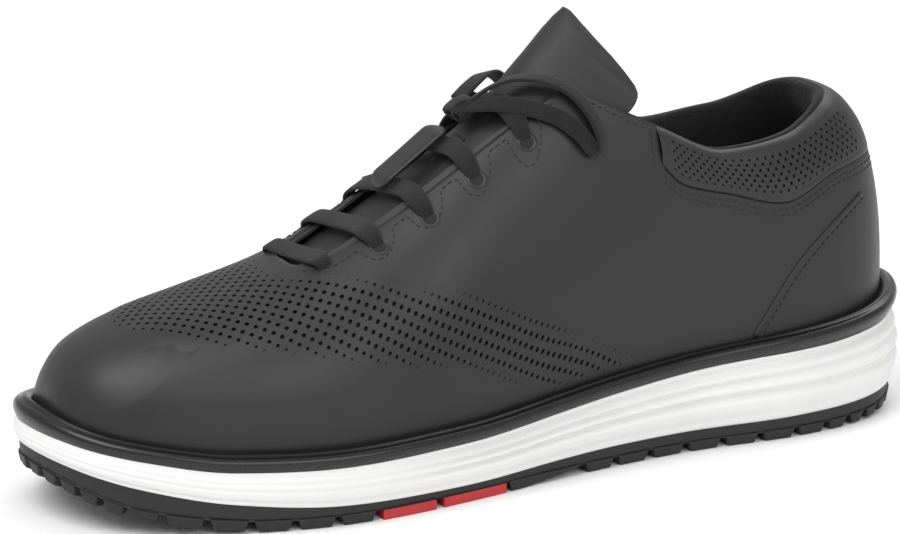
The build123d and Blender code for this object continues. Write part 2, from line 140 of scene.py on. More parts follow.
# the shape of the shoe's body, in millimetres, as the frame has it
lastShape = {
    "soleEdge": [(0, 156), (20, 148), (33, 131), (38, 100), (36.5, 58), (41.5, 12), (49, -30), (52, -70),
                 (44, -108), (30, -138), (14, -151), (-6, -156), (-22, -151), (-36, -139), (-47.5, -112),
                 (-52, -74), (-46, -30), (-36, 12), (-33, 56), (-36, 100), (-32, 131), (-19, 148)],
    "crest": [(-150, 30), (-148.5, 38), (-145, 45.5), (-136, 53.5), (-117, 60.5), (-95, 65.5), (-72, 72),
              (-45, 86), (0, 117), (28, 137), (60, 150), (95, 148), (115, 135), (127, 119), (137, 103),
              (143.5, 87), (148, 70), (150.5, 52), (151.3, 38)],
    "feather": [(-160, 31), (-130, 24.5), (-105, 20.6), (-70, 19.4), (-25, 20.2), (35, 26), (80, 30.2),
                (115, 32.5), (160, 38)],
    "tread": [(-160, 24), (-130, 15), (-105, 9.9), (-70, 6.5), (-25, 5.6), (35, 7.2), (80, 7.2),
              (115, 7.6), (160, 10)],
    "rand": [(-160, 38), (-146, 32.5), (-125, 28), (-105, 25.2), (-70, 24), (-25, 24.8), (35, 30.6),
             (80, 34.8), (115, 37.3), (160, 43.5)],
    "fullness": [(-160, 2.6), (-100, 2.6), (-30, 2.25), (20, 2.25), (100, 2.9), (160, 2.9)],
    "planStretch": 1.03,
    "planWidth": 0.89,
    "front": -150.0,
    "back": 151.3,
}

edgeSamples = smoothPath(lastShape["soleEdge"], 1400)


# columns of a table sorted by its first value
def columnsOf(pairs):
    return tuple(zip(*pairs))


outerTable = columnsOf(sorted((y, x) for x, y in edgeSamples if x > -6 and (x > 0 or abs(y) > 150)))
innerTable = columnsOf(sorted((y, x) for x, y in edgeSamples if x < 0))


def tableValue(table, y):
    keys, values = table
    if y <= keys[0]:
        return values[0]
    if y >= keys[-1]:
        return values[-1]
    k, t = findStep(keys, y)
    return between(values[k], values[k + 1], t)


sectionCache = {}


# one cross section of the body: points from the crest down the outer side and down the inner side
def crossSection(y):
    key = round(y, 2)
    if key in sectionCache:
        return sectionCache[key]
    planY = y * lastShape["planStretch"]
    right = tableValue(outerTable, planY)
    left = tableValue(innerTable, planY)
    middle = (right + left) / 2 * lastShape["planWidth"]
    half = max(0.5, (right - left) / 2 * lastShape["planWidth"])
    base = smoothValue(lastShape["feather"], y)
    crest = smoothValue(lastShape["crest"], y)
    power = 2 / smoothValue(lastShape["fullness"], y)
    sides = {}
    steps = 64
    for side in (1, -1):
        points = []
        for i in range(steps + 1):
            turn = math.pi / 2 * (1 - i / steps)
            c = math.cos(turn) if i else 0.0
            s = math.sin(turn) if i < steps else 0.0
            points.append((middle + side * half * c**power, base + (crest - base) * s**power))
        sides[side] = (points, runningLengths(points))
    sectionCache[key] = sides
    return sides


# point of the body's surface at y, by share of the way from the crest (0)
# to the feather line (1 outer, -1 inner)
def bodyPoint(y, share):
    side = 1 if share >= 0 else -1
    points, lengths = crossSection(y)[side]
    goal = abs(share) * lengths[-1]
    if goal >= lengths[-1]:
        x, z = points[-1]
        return Vector((x, y, z - (goal - lengths[-1])))
    k, t = findStep(lengths, goal)
    x, z = (between(a, b, t) for a, b in zip(points[k], points[k + 1]))
    return Vector((x, y, z))


def girth(y, side):
    return crossSection(y)[side][1][-1]


def bodyNormal(y, share):
    step = 0.6
    low = max(lastShape["front"], y - step)
    high = min(lastShape["back"], y + step)
    reach = 1.2 / max(20.0, girth(y, 1 if share >= 0 else -1))
    alongY = bodyPoint(high, share) - bodyPoint(low, share)
    around = bodyPoint(y, share + reach) - bodyPoint(y, share - reach)
    normal = alongY.cross(around)
    if normal.length < 1e-9:
        normal = Vector((0, -1 if y < 0 else 1, 0.3))
    normal.normalize()
    centre = Vector((0, y * 0.8, 40))
    if normal.dot(bodyPoint(y, share) - centre) < 0:
        normal.negate()
    return normal


# share at which the surface at y has a given height
def shareAtHeight(y, height, side):
    points, lengths = crossSection(y)[side]
    for i in range(1, len(points)):
        if points[i][1] <= height:
            drop = points[i - 1][1] - points[i][1]
            t = (points[i - 1][1] - height) / max(1e-9, drop)
            return side * (lengths[i - 1] + (lengths[i] - lengths[i - 1]) * t) / lengths[-1]
    return side * 1.0


# share at which the surface at y is a given distance across from the middle line
def shareAtWidth(y, x, side):
    points, lengths = crossSection(y)[side]
    for i in range(1, len(points)):
        if (points[i][0] - x) * side >= 0:
            width = abs(points[i][0] - points[i - 1][0])
            t = abs(x - points[i - 1][0]) / max(1e-9, width)
            return side * (lengths[i - 1] + (lengths[i] - lengths[i - 1]) * min(1, t)) / lengths[-1]
    return side * 1.0


# lengths along the crest line, so that rows are even where the toe and heel turn down
def alongLast(share):
    return between(lastShape["front"], lastShape["back"], 0.5 - 0.5 * math.cos(math.pi * share))


crestSteps = [alongLast(i / 400) for i in range(401)]
crestLengths = [0.0]
for yA, yB in zip(crestSteps, crestSteps[1:]):
    rise = smoothValue(lastShape["crest"], yB) - smoothValue(lastShape["crest"], yA)
    crestLengths.append(crestLengths[-1] + math.hypot(yB - yA, rise))


def crestLength(y):
    return tableValue((crestSteps, crestLengths), y)


def crestPlace(length):
    return tableValue((crestLengths, crestSteps), length)


# meshes and materials
def newPiece(name, bm, material, body="root", smooth=True):
    mesh = bpy.data.meshes.new(name)
    bm.to_mesh(mesh)
    bm.free()
    for face in mesh.polygons:
        face.use_smooth = smooth
    piece = bpy.data.objects.new(name, mesh)
    bpy.context.scene.collection.objects.link(piece)
    if material:
        mesh.materials.append(material)
    if body:
        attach(piece, body)
    return piece


# a grid of columns by rows laid on a surface; place(u, v) gives a point in millimetres
def laidGrid(columns, rows, place, close=False, lengthScale=(1.0, 1.0), mark=None):
    bm = bmesh.new()
    bmesh.ops.create_grid(bm, x_segments=columns, y_segments=rows, size=1.0)
    uvLayer = bm.loops.layers.uv.new("UVMap")
    layer = bm.verts.layers.float.new("mark") if mark else None
    shares = {v: ((v.co.x + 1) / 2, (v.co.y + 1) / 2) for v in bm.verts}
    for face in bm.faces:
        for loop in face.loops:
            u, v = shares[loop.vert]
            loop[uvLayer].uv = (u * lengthScale[0], v * lengthScale[1])
    if mark:
        for v, (a, b) in shares.items():
            v[layer] = mark(a, b)
    for v, (a, b) in shares.items():
        v.co = Vector(place(a, b)) * mm
    if close:
        bmesh.ops.remove_doubles(bm, verts=bm.verts, dist=0.00002)
    return bm


# one row of faces between two rings of vertices
def joinRings(bm, a, b):
    size = len(a)
    for t in range(size):
        bm.faces.new((a[t], a[(t + 1) % size], b[(t + 1) % size], b[t]))


# second material on the faces whose corners are all marked above a limit
def markFaces(piece, limit):
    values = [m.value for m in piece.data.attributes["mark"].data]
    for face in piece.data.polygons:
        if min(values[k] for k in face.vertices) > limit:
            face.material_index = 1


def faceOutward(bm):
    bmesh.ops.recalc_face_normals(bm, faces=bm.faces)


# turns the whole mesh over when most of its faces look against outward(centre)
def faceToward(bm, outward):
    bm.faces.ensure_lookup_table()
    score = 0
    bm.normal_update()
    for face in bm.faces:
        centre = face.calc_center_median()
        score += 1 if face.normal.dot(Vector(outward(centre))) > 0 else -1
    if score < 0:
        bmesh.ops.reverse_faces(bm, faces=bm.faces)


def addSubdivision(piece, levels):
    modifier = piece.modifiers.new("subdivision", "SUBSURF")
    modifier.levels = levels
    modifier.render_levels = levels


def addThickness(piece, thickness):
    modifier = piece.modifiers.new("thickness", "SOLIDIFY")
    modifier.thickness = thickness * mm
    modifier.offset = -1.0


def startMaterial(name, colour, roughness, specular=0.5):
    material = bpy.data.materials.new(name)
    material.use_nodes = True
    tree = material.node_tree
    shader = tree.nodes["Principled BSDF"]
    shader.inputs["Base Color"].default_value = (*colour, 1)
    shader.inputs["Roughness"].default_value = roughness
    shader.inputs["Specular IOR Level"].default_value = specular
    return material, tree, shader


def addNode(tree, kind, **values):
    node = tree.nodes.new(kind)
    for key, value in values.items():
        if key in node.inputs:
            node.inputs[key].default_value = value
        else:
            setattr(node, key, value)
    return node


# noise on the object's own coordinates
def grainNoise(tree, scale, detail=4.0, roughness=0.6):
    place = tree.nodes.new("ShaderNodeTexCoord")
    noise = addNode(tree, "ShaderNodeTexNoise", Scale=scale, Detail=detail, Roughness=roughness)
    tree.links.new(place.outputs["Object"], noise.inputs["Vector"])
    return noise


def bumpFrom(tree, shader, height, distance, strength):
    bump = addNode(tree, "ShaderNodeBump", Strength=strength, Distance=distance * mm)
    tree.links.new(height, bump.inputs["Height"])
    tree.links.new(bump.outputs["Normal"], shader.inputs["Normal"])


def tintBetween(tree, shader, factor, dark, light, low=0.3, high=0.7):
    ramp = tree.nodes.new("ShaderNodeValToRGB")
    ramp.color_ramp.elements[0].position = low
    ramp.color_ramp.elements[0].color = (*dark, 1)
    ramp.color_ramp.elements[1].position = high
    ramp.color_ramp.elements[1].color = (*light, 1)
    tree.links.new(factor, ramp.inputs["Fac"])
    tree.links.new(ramp.outputs["Color"], shader.inputs["Base Color"])


def roughnessBetween(tree, shader, factor, low, high):
    spread = addNode(tree, "ShaderNodeMapRange")
    spread.inputs["From Min"].default_value = 0.3
    spread.inputs["From Max"].default_value = 0.7
    spread.inputs["To Min"].default_value = low
    spread.inputs["To Max"].default_value = high
    tree.links.new(factor, spread.inputs["Value"])
    tree.links.new(spread.outputs["Result"], shader.inputs["Roughness"])


def shade(colour, factor):
    return tuple(c * factor for c in colour)


def coatedMicrofibre(name, colour, roughness=0.46):
    material, tree, shader = startMaterial(name, colour, roughness)
    soft = grainNoise(tree, 35, 3)
    fine = grainNoise(tree, 2600, 3, 0.55)
    dark = shade(colour, 0.9)
    light = shade(colour, 1.12)
    tintBetween(tree, shader, soft.outputs["Fac"], dark, light)
    roughnessBetween(tree, shader, soft.outputs["Fac"], roughness - 0.04, roughness + 0.05)
    bumpFrom(tree, shader, fine.outputs["Fac"], 0.06, 0.35)
    shader.inputs["Sheen Weight"].default_value = 0.02
    shader.inputs["Sheen Roughness"].default_value = 0.4
    return material


def mouldedRubber(name, colour, roughness, grain=1400, depth=0.05):
    material, tree, shader = startMaterial(name, colour, roughness)
    soft = grainNoise(tree, 60, 3)
    fine = grainNoise(tree, grain, 4)
    dark = shade(colour, 0.88)
    light = shade(colour, 1.1)
    tintBetween(tree, shader, soft.outputs["Fac"], dark, light)
    roughnessBetween(tree, shader, fine.outputs["Fac"], roughness - 0.02, roughness + 0.03)
    bumpFrom(tree, shader, fine.outputs["Fac"], depth, 0.5)
    return material


def mouldedFoam(name, colour):
    material, tree, shader = startMaterial(name, colour, 0.48)
    soft = grainNoise(tree, 25, 3)
    cells = addNode(tree, "ShaderNodeTexVoronoi", Scale=1500.0)
    place = tree.nodes.new("ShaderNodeTexCoord")
    tree.links.new(place.outputs["Object"], cells.inputs["Vector"])
    dark = shade(colour, 0.95)
    tintBetween(tree, shader, soft.outputs["Fac"], dark, colour)
    bumpFrom(tree, shader, cells.outputs["Distance"], 0.05, 0.3)
    return material


# two crossing waves on the piece's own UV map, which is in metres; the colour follows the same waves, with
# painted shade in the weave's hollows and a painted highlight on its crowns
def wovenCord(name, colour, pitch=0.75):
    material, tree, shader = startMaterial(name, colour, 0.78, 0.3)
    place = tree.nodes.new("ShaderNodeTexCoord")
    waves = []
    for turn in (math.radians(40), math.radians(-40)):
        mapping = tree.nodes.new("ShaderNodeMapping")
        mapping.inputs["Rotation"].default_value = (0, 0, turn)
        tree.links.new(place.outputs["UV"], mapping.inputs["Vector"])
        wave = addNode(tree, "ShaderNodeTexWave", Scale=1 / (pitch * mm) / 6.28 * 2.2, Distortion=0.4)
        tree.links.new(mapping.outputs["Vector"], wave.inputs["Vector"])
        waves.append(wave)
    weave = tree.nodes.new("ShaderNodeMath")
    weave.operation = "MAXIMUM"
    tree.links.new(waves[0].outputs["Fac"], weave.inputs[0])
    tree.links.new(waves[1].outputs["Fac"], weave.inputs[1])
    # darker hollows and lighter crowns of the weave: painted shade and painted highlight
    dark = shade(colour, 0.45)
    light = shade(colour, 1.35)
    tintBetween(tree, shader, weave.outputs["Value"], dark, light, 0.15, 0.95)
    bumpFrom(tree, shader, weave.outputs["Value"], 0.25, 0.8)
    shader.inputs["Sheen Weight"].default_value = 0.1
    return material


def knitCloth(name, colour, pitch=1.1):
    material, tree, shader = startMaterial(name, colour, 0.9, 0.2)
    place = tree.nodes.new("ShaderNodeTexCoord")
    cells = addNode(tree, "ShaderNodeTexVoronoi", Scale=1 / (pitch * mm), Randomness=0.35)
    tree.links.new(place.outputs["Object"], cells.inputs["Vector"])
    soft = grainNoise(tree, 300, 3)
    dark = shade(colour, 0.6)
    light = shade(colour, 1.3)
    tintBetween(tree, shader, soft.outputs["Fac"], dark, light)
    bumpFrom(tree, shader, cells.outputs["Distance"], 0.3, 0.7)
    shader.inputs["Sheen Weight"].default_value = 0.12
    shader.inputs["Sheen Roughness"].default_value = 0.5
    return material


finishes = {
    "upper": coatedMicrofibre("upperSkin", (0.0098, 0.0098, 0.0102)),
    "tongue": coatedMicrofibre("tongueSkin", (0.0115, 0.0115, 0.0118), 0.55),
    # near-black painted shade for hole walls, eyelet caps and the skin under the perforated sheets; under the
    # sheets it also stands in for the black lining seen through the holes
    "hole": mouldedRubber("holeShadePainted", (0.006, 0.006, 0.006), 0.8),
    "rand": mouldedRubber("randRubber", (0.004, 0.004, 0.0043), 0.27, 900, 0.02),
    "tread": mouldedRubber("treadRubber", (0.008, 0.008, 0.0085), 0.55),
    "red": mouldedRubber("redRubber", (0.42, 0.02, 0.025), 0.5),
    "foam": mouldedFoam("midsoleFoam", (0.74, 0.74, 0.735)),
    "lace": wovenCord("laceWeave", (0.007, 0.007, 0.0073)),
    "thread": wovenCord("seamThread", (0.05, 0.05, 0.052), 0.4),
    "lining": knitCloth("liningKnit", (0.007, 0.007, 0.0075)),
    "insole": knitCloth("insoleKnit", (0.012, 0.012, 0.013), 0.8),
    "board": knitCloth("boardFibre", (0.45, 0.40, 0.30), 2.0),
    "padding": mouldedFoam("paddingFoam", (0.30, 0.29, 0.26)),
    "stiffener": mouldedRubber("stiffenerSheet", (0.03, 0.03, 0.031), 0.6),
    "plastic": mouldedRubber("shankPlastic", (0.2, 0.2, 0.21), 0.4),
    "aglet": mouldedRubber("agletFilm", (0.012, 0.012, 0.012), 0.22, 500, 0.02),
}
nodeFinish = {
    "outsole": "tread", "traction_insert": "red", "shank": "plastic", "midsole": "foam", "rand": "rand",
    "lasting_board": "board", "insole_foam": "padding", "insole_cover": "insole", "collar_panel": "upper",
    "heel_panel": "upper", "vamp": "upper", "quarter_outer": "upper", "quarter_inner": "upper",
    "toe_puff": "stiffener", "heel_counter": "stiffener", "eyestay_outer": "stiffener",
    "eyestay_inner": "stiffener",
    "vamp_lining": "lining", "quarter_lining": "lining", "collar_foam": "padding",
    "collar_lining": "lining", "tongue_cover": "tongue", "tongue_foam": "padding", "tongue_lining": "lining",
    "tongue_top_cover": "tongue", "tongue_top_foam": "padding", "tongue_top_lining": "lining", "lace": "lace",
    "lace_keeper": "tongue", "lace_knot": "lace", "lace_loop_outer": "lace", "lace_loop_inner": "lace",
    "aglets": "aglet",
}
for node, finish in nodeFinish.items():
    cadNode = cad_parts[node]
    if not cadNode.material_slots:
        cadNode.data.materials.append(finishes[finish])
    for slot in cadNode.material_slots:
        slot.material = finishes[finish]
print("materials made")


# camera, light and floor
studio = {
    "azimuth": 63.504,
    "elevation": 15.515,
    "distance": 1.2,
    "target": (0, 0, 0.060),
    "lens": 147.2,
    "shift": (-0.030, 0.0064),
    "floor": 0.92,
    "world": 0.62,
}


def viewDirection(azimuth, elevation):
    a, e = math.radians(azimuth), math.radians(elevation)
    return Vector((math.sin(a) * math.cos(e), -math.cos(a) * math.cos(e), math.sin(e)))


camera = bpy.data.objects.new("camera", bpy.data.cameras.new("camera"))
bpy.context.scene.collection.objects.link(camera)
backward = viewDirection(studio["azimuth"], studio["elevation"])
camera.location = Vector(studio["target"]) + backward * studio["distance"]
camera.rotation_euler = (-backward).to_track_quat("-Z", "Y").to_euler()
camera.data.lens = studio["lens"]
camera.data.sensor_width = 36
camera.data.shift_x, camera.data.shift_y = studio["shift"]
camera.data.clip_start = 0.01
bpy.context.scene.camera = camera


def softLight(name, azimuth, elevation, distance, size, power):
    light = bpy.data.objects.new(name, bpy.data.lights.new(name, "AREA"))
    light.data.shape = "RECTANGLE"
    light.data.size, light.data.size_y = size
    light.data.energy = power
    bpy.context.scene.collection.objects.link(light)
    toward = viewDirection(azimuth, elevation)
    light.location = Vector((0, 0, 0.05)) + toward * distance
    light.rotation_euler = (-toward).to_track_quat("-Z", "Y").to_euler()


softLight("keyLight", 20, 55, 1.5, (1.2, 1.0), 15)
softLight("sideLight", 95, 30, 1.6, (1.2, 0.8), 7)
softLight("backLight", 215, 50, 1.6, (1.2, 0.8), 8)
world = bpy.data.worlds.new("studioWorld")
world.use_nodes = True
world.node_tree.nodes["Background"].inputs["Color"].default_value = (1, 1, 1, 1)
world.node_tree.nodes["Background"].inputs["Strength"].default_value = studio["world"]
bpy.context.scene.world = world
bpy.context.scene.view_settings.view_transform = "Standard"

floorMesh = bmesh.new()
bmesh.ops.create_grid(floorMesh, x_segments=1, y_segments=1, size=4.0)
floorMaterial = startMaterial("paleFloor", (studio["floor"],) * 3, 0.6, 0.2)[0]
floor = newPiece("floor", floorMesh, floorMaterial, body=None)
print("studio made")


# upper skin
upperValues = {
    "throatLine": [(-69.0, 0.0), (-69.0, 5.0), (-67.4, 9.0), (-63.5, 12.0), (-50, 14.8), (-20, 16.4),
                   (8, 16.8), (20, 17.2)],
    "topLine": [(20, 126.5), (36, 117.5), (53, 109), (76, 99.5), (100, 102), (120, 110), (134, 117)],
    "topFront": 20,
    "topBack": 51,
    "seamFront": 52.6,
    "collarSeam": [(51, 98), (60, 89.5), (76, 85), (97, 80), (120, 88), (160, 92)],
    "heelSeam": [(84, 34), (104, 60), (128, 77), (150, 86)],
    "thickness": 1.5,
    "columns": 240,
    "rows": 60,
    "hem": 0.06,
    "hemDrop": 4.0,
    "throatCentre": 1.0,
}


def topLineHeight(y):
    return smoothValue(upperValues["topLine"], y)


def seamHeight(y):
    return smoothValue(upperValues["collarSeam"], y)


# where the body's crest meets a height line behind the ankle
def heelMeeting(heightAt):
    y = lastShape["back"]
    while smoothValue(lastShape["crest"], y) < heightAt(y):
        y -= 0.1
    return y


seamBack = heelMeeting(seamHeight)
rimBack = heelMeeting(topLineHeight)


# boundary of the foot side at the sole, from the toe's middle to the heel's, as (y, share)
def feltLine(side):
    points = [(lastShape["front"], side * i / 8) for i in range(8)]
    points += [(alongLast(i / 120), side) for i in range(121)]
    points += [(lastShape["back"], side * (7 - i) / 8) for i in range(8)]
    return points


# upper boundary, as (y, share): round the throat, up to the quarter's corner, along the top line,
# then down the collar seam
def openLine(side):
    points = []
    for y, x in smoothPath(upperValues["throatLine"], 40, closed=False):
        share = shareAtWidth(y, upperValues["throatCentre"] + side * x, side)
        points.append((y, share if x > 0.2 else 0.0))
    front, back, seam = (upperValues[key] for key in ("topFront", "topBack", "seamFront"))
    for i in range(1, 17):
        y = between(front, back, i / 16)
        points.append((y, shareAtHeight(y, topLineHeight(y), side)))
    for i in range(1, 5):
        y = back + 0.4 * i
        height = topLineHeight(back) + (seamHeight(seam) - topLineHeight(back)) * i / 4
        points.append((y, shareAtHeight(y, height, side)))
    for i in range(1, 61):
        y = seam + (seamBack - seam) * i / 60
        points.append((y, shareAtHeight(y, seamHeight(y), side) if i < 60 else 0.0))
    return points


def lineLengths(points):
    places = [bodyPoint(y, share) for y, share in points]
    lengths = [0.0]
    for a, b in zip(places, places[1:]):
        lengths.append(lengths[-1] + (b - a).length)
    return lengths


def atLength(points, lengths, goal):
    k, t = findStep(lengths, goal)
    t = min(1, max(0, t))
    return tuple(between(a, b, t) for a, b in zip(points[k], points[k + 1]))


def lengthAtY(points, lengths, y, begin=0):
    for i in range(begin, len(points)):
        if points[i][0] >= y:
            return lengths[i]
    return lengths[-1]


upperSides = {}
for side in (1, -1):
    felt, opening = feltLine(side), openLine(side)
    feltLengths, openLengths = lineLengths(felt), lineLengths(opening)
    feltMarks = [0.0] + [lengthAtY(felt, feltLengths, y, 8) for y in (-126, -80, 4, 44, 62, 92, 124)]
    feltMarks += [feltLengths[-1]]
    openMarks = [0.0, 9.0] + [lengthAtY(opening, openLengths, y, 6) for y in (-52, 20, 50.9, 60, 92, 122)]
    openMarks += [openLengths[-1]]
    total = [0.0]
    for i in range(1, len(feltMarks)):
        total.append(total[-1] + (feltMarks[i] - feltMarks[i - 1]) + (openMarks[i] - openMarks[i - 1]))
    steps = [t / total[-1] for t in total]
    feltKeys, openKeys = list(zip(steps, feltMarks)), list(zip(steps, openMarks))
    upperSides[side] = (felt, feltLengths, feltKeys, opening, openLengths, openKeys)


# (y, share) on the skin: k from the toe's middle to the heel's, t from the sole up to the opening
def skinPlace(side, k, t):
    felt, feltLengths, feltKeys, opening, openLengths, openKeys = upperSides[side]
    yFelt, shareFelt = atLength(felt, feltLengths, smoothValue(feltKeys, k))
    yOpen, shareOpen = atLength(opening, openLengths, smoothValue(openKeys, k))
    length = crestLength(yFelt) + (crestLength(yOpen) - crestLength(yFelt)) * t
    return crestPlace(length), shareFelt + (shareOpen - shareFelt) * t


def splitSides(u):
    if u <= 0.5:
        return 1, 1 - 2 * u
    return -1, 2 * u - 1


perforation = {
    "low": [(-126, 0.0), (-125, 6), (-122.5, 12), (-119, 17), (-114, 22.5), (-108, 28), (-92, 38.4),
            (-80, 44.5), (-67, 52.1), (-51, 61.5), (-25, 78.2), (-8, 94), (5, 106), (19, 114.8),
            (33, 120.5), (46, 126)],
    "high": [(-76, 0.0), (-73, 11), (-65, 18), (-52, 29.2), (-39, 40.8), (-20, 54.8), (-6, 69), (9, 84),
             (20, 98), (33, 111), (46, 126)],
    "pitchAlong": 2.15,
    "pitchAcross": 2.25,
    "holeRadius": 0.78,
    "depth": 0.9,
    "start": -135.0,
}


zoneLow = [(-140, -66.0)] + perforation["low"]
zoneHigh = [(-84, -30.0)] + perforation["high"]


# distance of (y, b) from a rising curve, positive on its crest side
def curveDistance(curve, y, b):
    rise = smoothValue(curve, y) - b
    slope = (smoothValue(curve, y + 3) - smoothValue(curve, y - 3)) / 6
    return rise / math.hypot(1, slope)


# distance inside the perforated area's edge, roughly, in millimetres
def zoneDepth(y, b):
    b = abs(b)
    depth = curveDistance(zoneLow, y, b)
    if y > -84:
        depth = min(depth, -curveDistance(zoneHigh, y, b))
    return min(depth, 44 - y)


# relief of the skin in millimetres: it lies low under the perforated sheet, and its faces there take the dark
# hole material, painted shade that also stands in for the black lining
def skinDepth(y, share):
    return zoneDepth(y, share * girth(y, 1 if share >= 0 else -1))


def skinRelief(y, share):
    return -1.1 * easeStep(0.8, 4.0, skinDepth(y, share))


# the skin's lowest rows hang straight down behind the rand
def skinPoint(u, v):
    side, k = splitSides(u)
    hem, drop = upperValues["hem"], upperValues["hemDrop"]
    if v < hem:
        y, share = skinPlace(side, k, 0)
        return bodyPoint(y, share) + Vector((0, 0, -drop * (hem - v) / hem))
    y, share = skinPlace(side, k, (v - hem) / (1 - hem))
    return bodyPoint(y, share) + bodyNormal(y, share) * skinRelief(y, share)


def skinMark(u, v):
    side, k = splitSides(u)
    return skinDepth(*skinPlace(side, k, max(0, (v - upperValues["hem"]) / (1 - upperValues["hem"]))))


bm = laidGrid(2 * upperValues["columns"], upperValues["rows"], skinPoint, close=True, mark=skinMark)
faceToward(bm, lambda c: (c.x, c.y * 0.3, c.z - 0.03))
skin = newPiece("upper_skin", bm, finishes["upper"])
skin.data.materials.append(finishes["hole"])
# faces deep under the perforated sheet take the dark hole material: painted shade seen through the holes,
# also standing in for the black lining
markFaces(skin, 1.8)
addThickness(skin, upperValues["thickness"])
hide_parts("vamp", "quarter_outer", "quarter_inner", "heel_panel", "toe_puff", "heel_counter")
print("upper skin made")


# perforated sheets
# cells of a grid with a round hole at every other corner, where holed says so;
# place(i, j, depth) gives the point in millimetres
def perforatedSheet(name, columns, rows, place, covered, holed, radius, depth, material,
                    grow=lambda i, j: 1.0):
    bm = bmesh.new()
    corners, rings = {}, {}
    octant = [(math.cos(math.pi * k / 4), math.sin(math.pi * k / 4)) for k in range(8)]

    def corner(i, j):
        if (i, j) not in corners:
            corners[i, j] = bm.verts.new(Vector(place(i, j, 0.0)) * mm)
        return corners[i, j]

    def ring(i, j):
        if (i, j) not in rings:
            a, b = radius[0] * grow(i, j), radius[1] * grow(i, j)
            rings[i, j] = [bm.verts.new(Vector(place(i + a * c, j + b * s, 0.0)) * mm) for c, s in octant]
        return rings[i, j]

    def isHole(i, j):
        return (i + j) % 2 == 0 and holed(i, j)

    for i in range(columns[0], columns[1]):
        for j in range(rows[0], rows[1]):
            if not covered(i + 0.5, j + 0.5):
                continue
            loop = []
            for di, dj, first in ((0, 0, 2), (1, 0, 4), (1, 1, 6), (0, 1, 0)):
                if isHole(i + di, j + dj):
                    loop += [ring(i + di, j + dj)[(first - step) % 8] for step in range(3)]
                else:
                    loop.append(corner(i + di, j + dj))
            bm.faces.new(loop)
    # each hole gets a wall down to depth in the dark hole material: painted shade inside the perforation
    for (i, j) in list(rings):
        top = [bm.verts.new(v.co) for v in rings[i, j]]
        a, b = radius[0] * grow(i, j), radius[1] * grow(i, j)
        low = [bm.verts.new(Vector(place(i + a * c, j + b * s, depth)) * mm) for c, s in octant]
        for k in range(8):
            face = bm.faces.new((top[k], top[(k + 1) % 8], low[(k + 1) % 8], low[k]))
            face.material_index = 1
    piece = newPiece(name, bm, material)
    piece.data.materials.append(finishes["hole"])
    return piece


def holeSpot(i, j):
    return perforation["start"] + i * perforation["pitchAlong"], j * perforation["pitchAcross"]


def holePlace(i, j, depth):
    y, b = holeSpot(i, j)
    side = 1 if b >= 0 else -1
    share = b / girth(y, side)
    lift = -0.36 + 0.40 * easeStep(-4.5, 0.0, zoneDepth(y, b))
    return bodyPoint(y, share) + bodyNormal(y, share) * (lift - depth)


def holeZone(i, j):
    return zoneDepth(*holeSpot(i, j))


vampPerforated = perforatedSheet(
    "vamp_perforated", (0, 86), (-58, 58), holePlace,
    lambda i, j: holeZone(i, j) > -5.0, lambda i, j: holeZone(i, j) > 0.8,
    tuple(perforation["holeRadius"] / perforation[pitch] for pitch in ("pitchAlong", "pitchAcross")),
    perforation["depth"], finishes["upper"],
    lambda i, j: 0.62 + 0.38 * easeStep(0.0, 7.0, holeZone(i, j)))
print("vamp perforated")


# collar
collarValues = {
    "columns": 100,
    "front": 52.3,
    "topFront": 50.7,
    "lean": 3.6,
    "panel": [(0.02, 1.2), (0.0, 0.5), (0.03, -0.25), (0.2, -1.0), (0.45, -1.5), (0.7, -1.2),
              (0.88, -0.2), (0.97, 1.2), (1.0, 2.6), (0.97, 3.6)],
    "bulge": [(0.0, 0.5), (0.03, -0.25), (0.2, -1.0), (0.45, -1.5), (0.7, -1.2), (0.88, -0.2), (1.0, 1.6)],
    "pad": [(0.9, 2.6), (0.985, 2.9), (1.03, 4.0), (1.03, 5.4), (0.97, 6.9), (0.8, 8.3), (0.55, 9.0),
            (0.2, 9.0), (-0.2, 8.2), (-0.6, 6.8), (-1.0, 5.0), (-1.4, 3.4)],
    "pitch": 1.5,
    "height": 15.5,
    "holeRadius": 0.5,
    "zone": (0.17, 0.84),
    "zoneEnds": (5.0, 84.0),
}


def edgeCurve(heightAt, back, side, start):
    points = []
    for i in range(121):
        y = start + (back - start) * math.sin(math.pi / 2 * i / 120)
        points.append((y, shareAtHeight(y, heightAt(y), side) if i < 120 else 0.0))
    return points, lineLengths(points)


collarCurves = {
    side: (edgeCurve(seamHeight, seamBack, side, collarValues["front"]),
           edgeCurve(topLineHeight, rimBack, side, collarValues["topFront"])) for side in (1, -1)
}
collarLength = {side: (collarCurves[side][0][1][-1] + collarCurves[side][1][1][-1]) / 2 for side in (1, -1)}


# point of the collar at s along it (0 outer front, 0.5 heel, 1 inner front), v up it,
# and a depth under the surface
def collarPoint(s, v, depth):
    side, k = (1, 2 * s) if s <= 0.5 else (-1, 2 - 2 * s)
    (low, lowLengths), (high, highLengths) = collarCurves[side]
    yLow, shareLow = atLength(low, lowLengths, k * lowLengths[-1])
    yHigh, shareHigh = atLength(high, highLengths, k * highLengths[-1])
    y = crestPlace(crestLength(yLow) + (crestLength(yHigh) - crestLength(yLow)) * v)
    share = shareLow + (shareHigh - shareLow) * v
    if share * side < 0:
        share = 0.0
    lean = collarValues["lean"] * min(1, max(0, v)) * easeStep(86, 120, y)
    return bodyPoint(y, share) - bodyNormal(y, share) * (depth + lean)


def profileAt(profile, w):
    steps = [i / (len(profile) - 1) for i in range(len(profile))]
    up = smoothValue([(a, p[0]) for a, p in zip(steps, profile)], w)
    depth = smoothValue([(a, p[1]) for a, p in zip(steps, profile)], w)
    return up, depth


